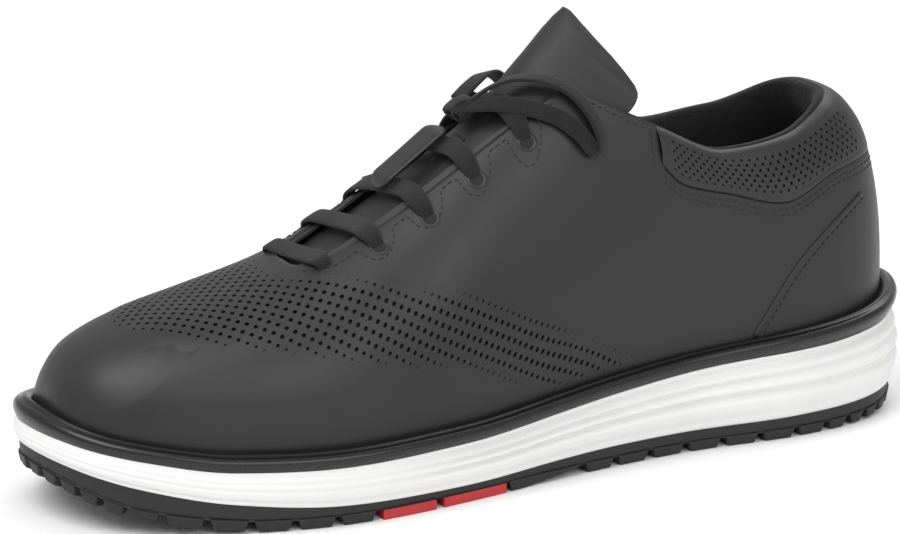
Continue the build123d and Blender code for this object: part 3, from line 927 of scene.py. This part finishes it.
def collarZone(s, v):
    side, k = (1, 2 * s) if s <= 0.5 else (-1, 2 - 2 * s)
    along = k * collarLength[side]
    ends = min(along - collarValues["zoneEnds"][0], collarValues["zoneEnds"][1] - along)
    return min(ends / 3, (v - collarValues["zone"][0]) * 8, (collarValues["zone"][1] - v) * 8)


def panelPlace(s, w):
    v, depth = profileAt(collarValues["panel"], w)
    return collarPoint(s, v, depth + 0.9 * easeStep(0.0, 0.6, collarZone(s, v)))


def panelMark(s, w):
    return collarZone(s, profileAt(collarValues["panel"], w)[0])


def collarBand(name, place, rows, material, mark=None):
    bm = laidGrid(2 * collarValues["columns"], rows, place, lengthScale=(0.25, 0.03), mark=mark)
    bmesh.ops.remove_doubles(bm, verts=bm.verts, dist=0.00001)
    faceToward(bm, lambda c: (c.x * 2, (c.y - 0.085), 0.02))
    piece = newPiece(name, bm, material)
    return piece


panel = collarBand("collar_panel_skin", panelPlace, 26, finishes["upper"], panelMark)
panel.data.materials.append(finishes["hole"])
# the collar faces under the perforated sheets take the dark hole material: painted shade, also standing in
# for the black lining
markFaces(panel, 0.9)
addSubdivision(panel, 1)
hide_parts("collar_panel")

panelPitch = collarValues["pitch"]
for side, name in ((1, "collar_perforated_outer"), (-1, "collar_perforated_inner")):
    def collarCell(i, j):
        k = i * panelPitch / collarLength[side]
        return (k / 2 if side == 1 else 1 - k / 2), j * panelPitch / collarValues["height"]

    def collarHole(i, j, depth):
        s, v = collarCell(i, j)
        bulge = smoothValue(collarValues["bulge"], v)
        lift = -0.2 + 0.24 * easeStep(-0.9, 0.0, collarZone(s, v))
        return collarPoint(s, v, depth + bulge - lift)

    sheet = perforatedSheet(
        name, (1, 60), (0, 11), collarHole, lambda i, j: collarZone(*collarCell(i, j)) > -1.0,
        lambda i, j: collarZone(*collarCell(i, j)) > 0.1, (collarValues["holeRadius"] / panelPitch,) * 2,
        0.8, finishes["upper"])


def padPlace(s, w):
    v, depth = profileAt(collarValues["pad"], w)
    return collarPoint(s, v, depth)


pad = collarBand("collar_lining_pad", padPlace, 28, finishes["lining"])
addSubdivision(pad, 1)
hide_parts("collar_foam", "collar_lining")
print("collar made")


# tongue
tongueValues = {
    "centre": 1.0,
    "top": [(8, 121.3), (13, 127.0), (19, 133.4), (25.5, 140.0), (31, 145.6)],
    "half": [(0.0, 12.0), (0.15, 17.5), (0.6, 18.0), (0.72, 17.5), (0.85, 22.5), (0.93, 24.0),
             (0.965, 19.0), (0.985, 10.0), (1.0, 3.0)],
    "bow": [(0.0, 4.0), (0.3, 5.0), (0.6, 8.0), (0.75, 11.0), (0.9, 30.0), (0.95, 28.0), (0.97, 18.0),
            (0.985, 8.5), (1.0, 1.0)],
    "depth": 3.4,
    "thickness": 4.2,
}


def tongueCentre(y):
    return smoothValue(lastShape["crest"], y) - tongueValues["depth"]


tongueSpine = [(y, tongueCentre(y)) for y in range(-80, 10, 10)] + tongueValues["top"]
tongueSpine = evenSpacing(smoothPath(tongueSpine, 400, closed=False), 240, closed=False)


def tonguePoint(u, v):
    place = v * (len(tongueSpine) - 1)
    k = min(int(place), len(tongueSpine) - 2)
    t = place - k
    y, z = (between(a, b, t) for a, b in zip(tongueSpine[k], tongueSpine[k + 1]))
    heading = Vector((0, *(b - a for a, b in zip(tongueSpine[k], tongueSpine[k + 1]))))
    heading.normalize()
    inward = Vector((0, heading.z, -heading.y))
    half = smoothValue(tongueValues["half"], v)
    bow = smoothValue(tongueValues["bow"], v)
    across = 2 * u - 1
    drop = bow * abs(across) ** 2.1
    if v < 0.7:
        side = 1 if across >= 0 else -1
        share = shareAtWidth(y, tongueValues["centre"] + half * across, side)
        onBody = bodyPoint(y, share) - bodyNormal(y, share) * (tongueValues["depth"] + 0.3)
        free = Vector((tongueValues["centre"] + half * across, y, z)) + inward * drop
        mix = easeStep(0.55, 0.7, v)
        return onBody + (free - onBody) * mix
    return Vector((tongueValues["centre"] + half * across, y, z)) + inward * drop


bm = laidGrid(28, 110, tonguePoint, lengthScale=(0.04, 0.14))
faceToward(bm, lambda c: (0, -0.5, 0.8))
tongue = newPiece("tongue_pad", bm, finishes["tongue"], body=None)
addThickness(tongue, tongueValues["thickness"])
bevel = tongue.modifiers.new("edge", "BEVEL")
bevel.width = 1.5 * mm
bevel.segments = 3
bevel.limit_method = "ANGLE"
bevel.angle_limit = math.radians(50)
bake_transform(tongue)
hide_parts("tongue_cover", "tongue_foam", "tongue_lining", "tongue_top_cover",
            "tongue_top_foam", "tongue_top_lining")
print("tongue made")


# laces
laceValues = {
    "rows": [
        ((-15.5, -67), (17.0, -61.5)), ((-20.0, -52), (21.5, -45.5)), ((-21.5, -36.5), (23.0, -28.5)),
        ((-20.5, -20), (22.0, -11.5)), ((-20.5, -3), (21.5, 6.5)),
    ],
    "width": 7.0,
    "thickness": 1.5,
    "lift": 1.6,
    "sag": 2.2,
    "reach": 2.8,
    "dive": 5.5,
}


# flat band along a smooth path; ups give the way its broad side looks
def ribbon(bm, points, ups, width, thickness, taper=None):
    uvLayer = bm.loops.layers.uv.verify()
    over = [(-0.5, 0.0), (-0.46, 0.4), (-0.3, 0.5), (0.0, 0.5), (0.3, 0.5), (0.46, 0.4)]
    section = over + [(-a, -b) for a, b in over]
    rings, distances = [], [0.0]
    for i, point in enumerate(points):
        before, after = points[max(0, i - 1)], points[min(len(points) - 1, i + 1)]
        along = (after - before).normalized()
        across = along.cross(ups[i]).normalized()
        up = across.cross(along).normalized()
        size = taper(i / (len(points) - 1)) if taper else 1.0
        rings.append([bm.verts.new((point + across * a * width * size + up * b * thickness) * mm)
                      for a, b in section])
        if i:
            distances.append(distances[-1] + (points[i] - points[i - 1]).length)
    for i in range(len(rings) - 1):
        for k in range(len(section)):
            onward = (k + 1) % len(section)
            face = bm.faces.new((rings[i][k], rings[i][onward], rings[i + 1][onward], rings[i + 1][k]))
            marks = ((i, k), (i, k + 1), (i + 1, k + 1), (i + 1, k))
            for loop, (row, slot) in zip(face.loops, marks):
                loop[uvLayer].uv = (distances[row] * mm, slot / len(section) * width * 2.2 * mm)
    bm.faces.new(list(reversed(rings[0])))
    bm.faces.new(rings[-1])


def smoothRoute(points, count):
    samples = evenSpacing(smoothPath([tuple(p) for p in points], 400, closed=False), count, closed=False)
    return [Vector(p) for p in samples]


def overSurface(x, y, lift):
    side = 1 if x >= crossSection(y)[1][0][0][0] else -1
    share = shareAtWidth(y, x, side)
    return bodyPoint(y, share) + bodyNormal(y, share) * lift


def surfaceNormal(x, y):
    return bodyNormal(y, shareAtWidth(y, x, 1 if x >= 0 else -1))


# the bars: each sags over the tongue and dives into an eyelet at either end
barMesh = bmesh.new()
for inner, outer in laceValues["rows"]:
    route, ups = [], []
    for i in range(25):
        t = i / 24
        x = inner[0] - laceValues["reach"] + (outer[0] - inner[0] + 2 * laceValues["reach"]) * t
        y = inner[1] + (outer[1] - inner[1]) * t
        edge = min(t, 1 - t)
        sag = max(0, 1 - ((x - upperValues["throatCentre"]) / 14) ** 2)
        dive = laceValues["dive"] * max(0, 1 - edge / 0.10) ** 1.6
        lift = laceValues["lift"] - dive - laceValues["sag"] * sag
        route.append(overSurface(x, y, lift))
        ups.append(surfaceNormal(x, y))
    ribbon(barMesh, route, ups, laceValues["width"], laceValues["thickness"],
           lambda t: 1 - 0.5 * max(0, 1 - min(t, 1 - t) / 0.15))
faceOutward(barMesh)
bars = newPiece("lace_bars", barMesh, finishes["lace"])
addSubdivision(bars, 1)
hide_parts("lace")

# punched eyelets with a pressed rim, where the bars go down, each closed by a dark cap of painted shade; each
# ring is a radius and a height
eyeletValues = {
    "rings": ((3.3, 0.0), (2.9, 0.28), (2.5, 0.3), (2.2, 0.1), (2.1, 0.06)),
    "corners": 20,
    "outward": 1.2,
}
eyeletTurns = [(math.cos(t * math.pi / 10), math.sin(t * math.pi / 10))
               for t in range(eyeletValues["corners"])]
bm = bmesh.new()
for inner, outer in laceValues["rows"][1:]:
    beyond = eyeletValues["outward"]
    for x, y in ((outer[0] + beyond, outer[1]), (inner[0] - beyond, inner[1])):
        middle = overSurface(x, y, 0.0)
        up = surfaceNormal(x, y)
        along = up.cross(Vector((0, 1, 0))).normalized()
        across = up.cross(along)
        rings = []
        for radius, height in eyeletValues["rings"]:
            rings.append([bm.verts.new((middle + (along * c + across * s) * radius + up * height) * mm)
                          for c, s in eyeletTurns])
        for a, b in zip(rings, rings[1:]):
            joinRings(bm, a, b)
        # the dark cap in the eyelet's middle is painted shade where the lace goes down
        bm.faces.new(rings[-1]).material_index = 1
faceToward(bm, lambda c: (c.x * 2, -0.02, 0.05))
eyelets = newPiece("eyelet_rims", bm, finishes["upper"])
eyelets.data.materials.append(finishes["hole"])
print("lace bars made")


# the two bow loops: each leaves the knot, turns at its tip on the quarter and comes back under itself
bowValues = {
    "route": [(4.5, -1.5, 4.4), (6.5, 4.5, 4.4), (10, 10.5, 3.8), (15.5, 17, 3.4), (20.5, 23.5, 3.2),
              (24.5, 28.5, 3.0), (26.8, 30.2, 2.8), (27.3, 27.5, 2.6), (25.3, 23, 2.4), (22.5, 17.5, 2.4),
              (18.5, 10.5, 2.6), (12.5, 3, 3.4), (7, -2.5, 4.2), (4.5, -4.5, 4.2)],
    "width": 5.6,
    "thickness": 1.3,
    "points": 90,
}
for side, name, node in ((1, "bow_loop_outer", "lace_loop_outer"), (-1, "bow_loop_inner", "lace_loop_inner")):
    back = 0 if side == 1 else 1.5
    corners = [overSurface(1 + side * (x - 1), y - back, lift) for x, y, lift in bowValues["route"]]
    route = smoothRoute(corners, bowValues["points"])
    middle = sum(route, Vector()) / len(route)
    ups = []
    for point in route:
        normal = surfaceNormal(point.x, point.y)
        away = point - middle
        away -= normal * away.dot(normal)
        ups.append((normal * 0.75 + away.normalized() * 0.65 * easeStep(2, 9, away.length)).normalized())
    bm = bmesh.new()
    ribbon(bm, route, ups, bowValues["width"], bowValues["thickness"])
    faceOutward(bm)
    loop = newPiece(name, bm, finishes["lace"])
    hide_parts(node)

# the two ends of the lace: from the knot over the inner quarter to the aglets
tailValues = {"width": 5.0, "thickness": 1.4, "aglets": (-27.0, -31.5), "agletEnd": -8.0, "agletRise": 6.5}
for k, x in enumerate(tailValues["aglets"]):
    y = tailValues["agletEnd"]
    end = overSurface(x, y, 0.0)
    end.z += tailValues["agletRise"]
    corners = [overSurface(-1.0, -5.0 - 2 * k, 3.6), overSurface(-6, -3 + 2 * k, 3.6),
               overSurface(-13, 1.5 + 3 * k, 3.4), overSurface(-20, 3 + 4 * k, 3.2),
               overSurface(-25 - 2 * k, 1 + 4 * k, 4.0), end + Vector((0, 3, 0.5)),
               end + Vector((0, -0.8, 0))]
    route = smoothRoute(corners, 60)
    ups = [surfaceNormal(p.x, p.y) for p in route]
    bm = bmesh.new()
    ribbon(bm, route, ups, tailValues["width"], tailValues["thickness"],
           lambda t: 1 - 0.45 * easeStep(0.86, 1.0, t))
    faceOutward(bm)
    tail = newPiece("lace_tail_" + "ab"[k], bm, finishes["lace"])

# the knot: one turn of the lace drawn tight round the crossing, with a flatter turn under it
knotValues = {"centre": (2.0, -4.5), "rise": 3.2, "turns": [(8.6, 4.6, 0.0, 4.4), (6.6, 5.4, 1.35, 3.2)]}
bm = bmesh.new()
knotBase = overSurface(knotValues["centre"][0], knotValues["centre"][1], knotValues["rise"])
knotUp = surfaceNormal(*knotValues["centre"])
for reach, height, spin, wide in knotValues["turns"]:
    ahead = Vector((math.cos(spin), math.sin(spin), 0))
    ahead = (ahead - knotUp * ahead.dot(knotUp)).normalized()
    route, ups = [], []
    for i in range(49):
        turn = 2 * math.pi * i / 48
        route.append(knotBase + ahead * reach * 0.5 * math.cos(turn) + knotUp * height * 0.5 * math.sin(turn)
                     + ahead.cross(knotUp) * 0.8 * math.sin(turn * 0.5))
        ups.append((ahead * math.cos(turn) + knotUp * math.sin(turn)).normalized())
    ribbon(bm, route, ups, wide * 1.6, 1.6)
core = bmesh.ops.create_uvsphere(bm, u_segments=20, v_segments=12, radius=1.0)
for v in core["verts"]:
    spot = v.co.copy()
    v.co = (knotBase + Vector((spot.x * 5.2, spot.y * 3.6, spot.z * 2.2))) * mm
faceOutward(bm)
knot = newPiece("bow_knot", bm, finishes["lace"])
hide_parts("lace_knot")

# the keeper: a strap sewn to the tongue over the middle rows
keeperValues = {"from": -35.5, "to": -11.5, "width": 12.5, "thickness": 1.5, "lift": 3.4, "dip": 2.6}
route, ups = [], []
for i in range(33):
    y = keeperValues["from"] + (keeperValues["to"] - keeperValues["from"]) * i / 32
    edge = min(i, 32 - i) / 32
    lift = keeperValues["lift"] - keeperValues["dip"] * max(0, 1 - edge / 0.16) ** 2
    route.append(overSurface(upperValues["throatCentre"], y, lift))
    ups.append(surfaceNormal(upperValues["throatCentre"], y))
bm = bmesh.new()
ribbon(bm, route, ups, keeperValues["width"], keeperValues["thickness"],
       lambda t: math.sqrt(max(0.02, 1 - max(0, 1 - min(t, 1 - t) / 0.12) ** 2)))
faceOutward(bm)
keeper = newPiece("keeper_strap", bm, finishes["upper"])
addSubdivision(keeper, 1)
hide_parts("lace_keeper")
print("laces made")


# stitching and seam edges
stitchValues = {
    "pitch": 2.5,
    "length": 1.75,
    "radius": 0.27,
    "scallopBase": 10,
    "scallopGrow": 8.6,
    "scallopSwing": 6.6,
    "scallopHalf": 5.6,
    "collarDrops": (2.3, 4.3),
    "topDrop": 2.6,
    "heelLine": (85.5, 130),
}


# a row of raised stitches along (y, share) points
def stitchRow(bm, points, lift=0.12):
    places = [bodyPoint(y, share) + bodyNormal(y, share) * lift for y, share in points]
    normals = [bodyNormal(y, share) for y, share in points]
    samples = [tuple(p) + tuple(n) for p, n in zip(places, normals)]
    total = sum(math.dist(a[:3], b[:3]) for a, b in zip(samples, samples[1:]))
    count = max(2, int(total / stitchValues["pitch"]))
    fine = evenSpacing(samples, count * 4 + 1, closed=False)
    for k in range(count):
        start, end = Vector(fine[4 * k][:3]), Vector(fine[min(4 * k + 3, len(fine) - 1)][:3])
        up = Vector(fine[4 * k][3:]).normalized()
        along = (end - start)
        if along.length < 0.3:
            continue
        along = along.normalized() * stitchValues["length"]
        across = along.cross(up).normalized()
        rings = []
        for t, size, sink in ((0.0, 0.45, -0.25), (0.2, 0.95, 0.0), (0.8, 0.95, 0.0), (1.0, 0.45, -0.25)):
            centre = start + along * t + up * sink
            rings.append([bm.verts.new((centre + (across * math.cos(math.pi * a / 3)
                                                  + up * math.sin(math.pi * a / 3))
                                        * stitchValues["radius"] * size) * mm) for a in range(6)])
        for a, b in zip(rings, rings[1:]):
            joinRings(bm, a, b)
        bm.faces.new(list(reversed(rings[0])))
        bm.faces.new(rings[-1])


def heelSeamHeight(y):
    return smoothValue(upperValues["heelSeam"], y)


bm = bmesh.new()
edges = bmesh.new()
for side in (1, -1):
    scallop = []
    for i in range(240):
        y = -68 + 86 * i / 239
        gap = min(abs(outer[1] - y) for inner, outer in laceValues["rows"][1:]) / stitchValues["scallopHalf"]
        swing = math.sqrt(max(0, 1 - gap * gap))
        grow = easeStep(-74, -58, y)
        reach = stitchValues["scallopBase"] + stitchValues["scallopGrow"] * grow
        reach += stitchValues["scallopSwing"] * swing
        x = upperValues["throatCentre"] + side * reach
        scallop.append((y, shareAtWidth(y, x, side)))
    stitchRow(bm, scallop)
    for drop in stitchValues["collarDrops"]:
        seam = []
        for i in range(70):
            y = 53 + (seamBack - 2.5 - 53) * i / 69
            seam.append((y, shareAtHeight(y, seamHeight(y) - drop, side)))
        stitchRow(bm, seam)
    topRow = [(y, shareAtHeight(y, topLineHeight(y) - stitchValues["topDrop"], side)) for y in range(21, 51)]
    stitchRow(bm, topRow)
    frontSeam = [(49.0 + 0.3 * i / 8, shareAtHeight(49.0, 107.5 - 10 * i / 8, side)) for i in range(9)]
    stitchRow(bm, frontSeam)
    heelLine = []
    heelFront, heelBack = stitchValues["heelLine"]
    for i in range(60):
        y = heelFront + (heelBack - heelFront) * i / 59
        heelLine.append((y, shareAtHeight(y, heelSeamHeight(y), side)))
    heelStitch = [(y + 1.9, shareAtHeight(y + 1.9, heelSeamHeight(y) - 1.2, side)) for y, _ in heelLine]
    stitchRow(bm, heelStitch)
    route = [bodyPoint(y, share) + bodyNormal(y, share) * 0.12 for y, share in heelLine]
    ribbon(edges, route, [bodyNormal(y, share) for y, share in heelLine], 1.7, 0.8)
faceOutward(bm)
stitches = newPiece("stitching", bm, finishes["thread"])
faceOutward(edges)
seamEdges = newPiece("heel_seam_edges", edges, finishes["upper"])
print("stitching made")


# sole unit
soleLoop = evenSpacing(smoothPath(lastShape["soleEdge"], 1400), 360)


def loopFrame(u):
    count = len(soleLoop)
    where = (u * count) % count
    k = int(where)
    t = where - k
    a, b = soleLoop[k % count], soleLoop[(k + 1) % count]
    before, after = soleLoop[(k - 1) % count], soleLoop[(k + 2) % count]
    x, y = a[0] + (b[0] - a[0]) * t, a[1] + (b[1] - a[1]) * t
    heading = Vector((after[0] - before[0], after[1] - before[1], 0)).normalized()
    return Vector((x, y, 0)), Vector((-heading.y, heading.x, 0))


# a band round the sole: profile(y, v) gives (outward, height) in millimetres
def soleBand(name, profile, rows, material, closed=False):
    def place(u, v):
        spot, outward = loopFrame(u)
        out, height = profile(spot.y, v)
        return Vector((spot.x, spot.y, height)) + outward * out

    bm = laidGrid(len(soleLoop), rows, place, close=True, lengthScale=(0.84, 0.03))
    if closed:
        edges = [e for e in bm.edges if e.is_boundary]
        bmesh.ops.holes_fill(bm, edges=edges, sides=0)
        bmesh.ops.triangulate(bm, faces=[f for f in bm.faces if len(f.verts) > 4])
    faceOutward(bm)
    return newPiece(name, bm, material)


midsoleValues = {
    "grooves": (0.46, 0.64, 0.82),
    "grooveDepth": 1.7,
    "grooveWidth": 0.058,
    "bulge": 1.6,
    "heelBulge": 3.4,
}


def midsoleProfile(y, v):
    low = smoothValue(lastShape["tread"], y) - 0.3
    high = smoothValue(lastShape["feather"], y) + 0.2
    height = low + (high - low) * v
    heel = easeStep(20, 140, y)
    bulge = midsoleValues["bulge"] + (midsoleValues["heelBulge"] - midsoleValues["bulge"]) * heel
    out = bulge * math.sin(math.pi * min(1, max(0, v))) ** 0.8 - 0.6 - 1.2 * heel * v
    fade = easeStep(-70, -20, y)
    spread = 1 + 0.15 * heel
    for groove in midsoleValues["grooves"]:
        centre = 0.64 + (groove - 0.64) * spread
        gap = (v - centre) / midsoleValues["grooveWidth"]
        out -= midsoleValues["grooveDepth"] * (0.15 + 0.85 * fade) * math.exp(-gap * gap)
    lip = (v - 0.14) / 0.06
    out -= 0.35 * math.exp(-lip * lip)
    edge = min(v, 1 - v)
    out -= 1.2 * max(0, 1 - edge / 0.05) ** 2
    return out, height


midsole = soleBand("midsole_wall", midsoleProfile, 64, finishes["foam"], closed=True)
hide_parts("midsole")

randValues = {
    "section": [(-1.8, -0.4), (-0.7, 0.0), (-0.1, 0.25), (0.15, 0.5), (-0.2, 0.74), (-1.1, 0.9),
                (-1.9, 0.93), (-2.6, 1.0), (-3.2, 1.08), (-4.2, 1.06), (-5.6, 0.9), (-7.0, 0.6)],
}


def randProfile(y, v):
    low = smoothValue(lastShape["feather"], y)
    high = smoothValue(lastShape["rand"], y)
    heel = easeStep(60, 150, y)
    out, up = profileAt(randValues["section"], v)
    return out + 0.6 + 0.6 * heel, low + (high - low) * up


rand = soleBand("rand_band", randProfile, 33, finishes["rand"])
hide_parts("rand")

treadValues = {
    "bottom": [(-160, 17), (-132, 5.2), (-110, 1.7), (-95, 0.5), (-78, 0), (112, 0), (135, 0.9), (160, 3.5)],
    "lugDepth": 3.2,
    "wallShare": 0.3,
    "inset": 0.9,
    "pitch": 13.8,
    "endsCloser": 5.6,
    "endsShallower": 3,
    "gap": 1.6,
    "taper": 1.3,
    "edgeDepth": 9.5,
    "innerRings": ((12.5, 7.5, 134), (23.5, 6.5, 116)),
    "spans": ((-59.5, -160), (19.0, 160)),
    "wedge": (-10.0, 17.5),
}
loopTotal = runningLengths(soleLoop + soleLoop[:1])[-1]


def treadBottom(y):
    return smoothValue(treadValues["bottom"], y)


def middleLine(y):
    return (tableValue(outerTable, y) + tableValue(innerTable, y)) / 2


# wall of the tread plate, then its underside in towards the middle line
def platePlace(u, v):
    spot, outward = loopFrame(u)
    high = smoothValue(lastShape["tread"], spot.y) + 0.1
    low = treadBottom(spot.y) + treadValues["lugDepth"]
    edge = spot - outward * treadValues["inset"]
    wall = treadValues["wallShare"]
    if v < wall:
        t = v / wall
        rounding = 0.6 * max(0, (t - 0.75) / 0.25) ** 2
        return Vector((edge.x, edge.y, high + (low - high) * t)) - outward * rounding
    t = (v - wall) / (1 - wall)
    return Vector((edge.x + (middleLine(edge.y) - edge.x) * t, edge.y, low))


def roundEdges(bm, faces, width, segments):
    edges = list({edge for face in faces for edge in face.edges})
    bmesh.ops.bevel(bm, geom=edges, offset=width * mm, segments=segments, profile=0.5, affect="EDGES",
                    material=-1)


# tapered block with rounded edges: outer face at spot, top sunk into the plate
def addLug(bm, spot, outward, length, depth, segments):
    along = Vector((-outward.y, outward.x, 0))
    taper = treadValues["taper"]
    corners = []
    for z, shrink in ((1, 0.0), (0, taper)):
        for a, d in ((-1, 0), (1, 0), (1, 1), (-1, 1)):
            reach = (length / 2 - shrink) * a
            deep = shrink * 0.55 if d == 0 else depth - shrink * 0.8
            place = spot + along * reach - outward * deep
            height = treadBottom(place.y) + (treadValues["lugDepth"] + 0.5 if z else 0.0)
            corners.append(bm.verts.new(Vector((place.x, place.y, height)) * mm))
    made = [bm.faces.new([corners[k] for k in face]) for face in
            ((0, 1, 2, 3), (7, 6, 5, 4), (0, 4, 5, 1), (1, 5, 6, 2), (2, 6, 7, 3), (3, 7, 4, 0))]
    roundEdges(bm, made, 0.55, segments)


bm = laidGrid(len(soleLoop), 40, platePlace, close=True)
faceOutward(bm)
spans = []
for low, high in treadValues["spans"]:
    inside = [i for i, p in enumerate(soleLoop) if (p[1] - low) * (high - low) > 0]
    start = next(i for i in inside if (i - 1) % len(soleLoop) not in inside)
    length = len(inside) * loopTotal / len(soleLoop)
    spans.append((start / len(soleLoop) * loopTotal, length))
for begin, length in spans:
    place = begin
    while place < begin + length - 3:
        spot, outward = loopFrame((place / loopTotal) % 1.0)
        ends = easeStep(-112, -140, spot.y) if spot.y < 0 else easeStep(104, 132, spot.y)
        pitch = treadValues["pitch"] - treadValues["endsCloser"] * ends
        pitch = min(pitch, begin + length - place)
        spot, outward = loopFrame(((place + pitch / 2) / loopTotal) % 1.0)
        if pitch > 4:
            addLug(bm, spot - outward * (treadValues["inset"] - 0.5), outward,
                   pitch - treadValues["gap"],
                   treadValues["edgeDepth"] - treadValues["endsShallower"] * ends, 2)
            for inset, depth, limit in treadValues["innerRings"]:
                if abs(spot.y) < limit:
                    addLug(bm, spot - outward * inset, outward, pitch - 4.0, depth, 1)
        place += pitch
front, back = treadValues["wedge"]
for side in (1, -1):
    table = outerTable if side == 1 else innerTable
    profile = [(front, 0.0), (front + 4, 0.0), (back, treadValues["lugDepth"] - 0.4), (back, 3.7),
               (front - 1.0, 3.7)]
    rows = []
    for inset in (treadValues["inset"] - 0.3, 24.0):
        rows.append([bm.verts.new(Vector((tableValue(table, y) - side * inset, y, z)) * mm)
                     for y, z in profile])
    made = [bm.faces.new(rows[0]), bm.faces.new(list(reversed(rows[1])))]
    for i in range(5):
        made.append(bm.faces.new((rows[0][i], rows[1][i], rows[1][(i + 1) % 5], rows[0][(i + 1) % 5])))
    bmesh.ops.recalc_face_normals(bm, faces=made)
    roundEdges(bm, made, 0.5, 2)
tread = newPiece("tread_and_lugs", bm, finishes["tread"], smooth=False)
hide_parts("outsole")
print("sole unit made")
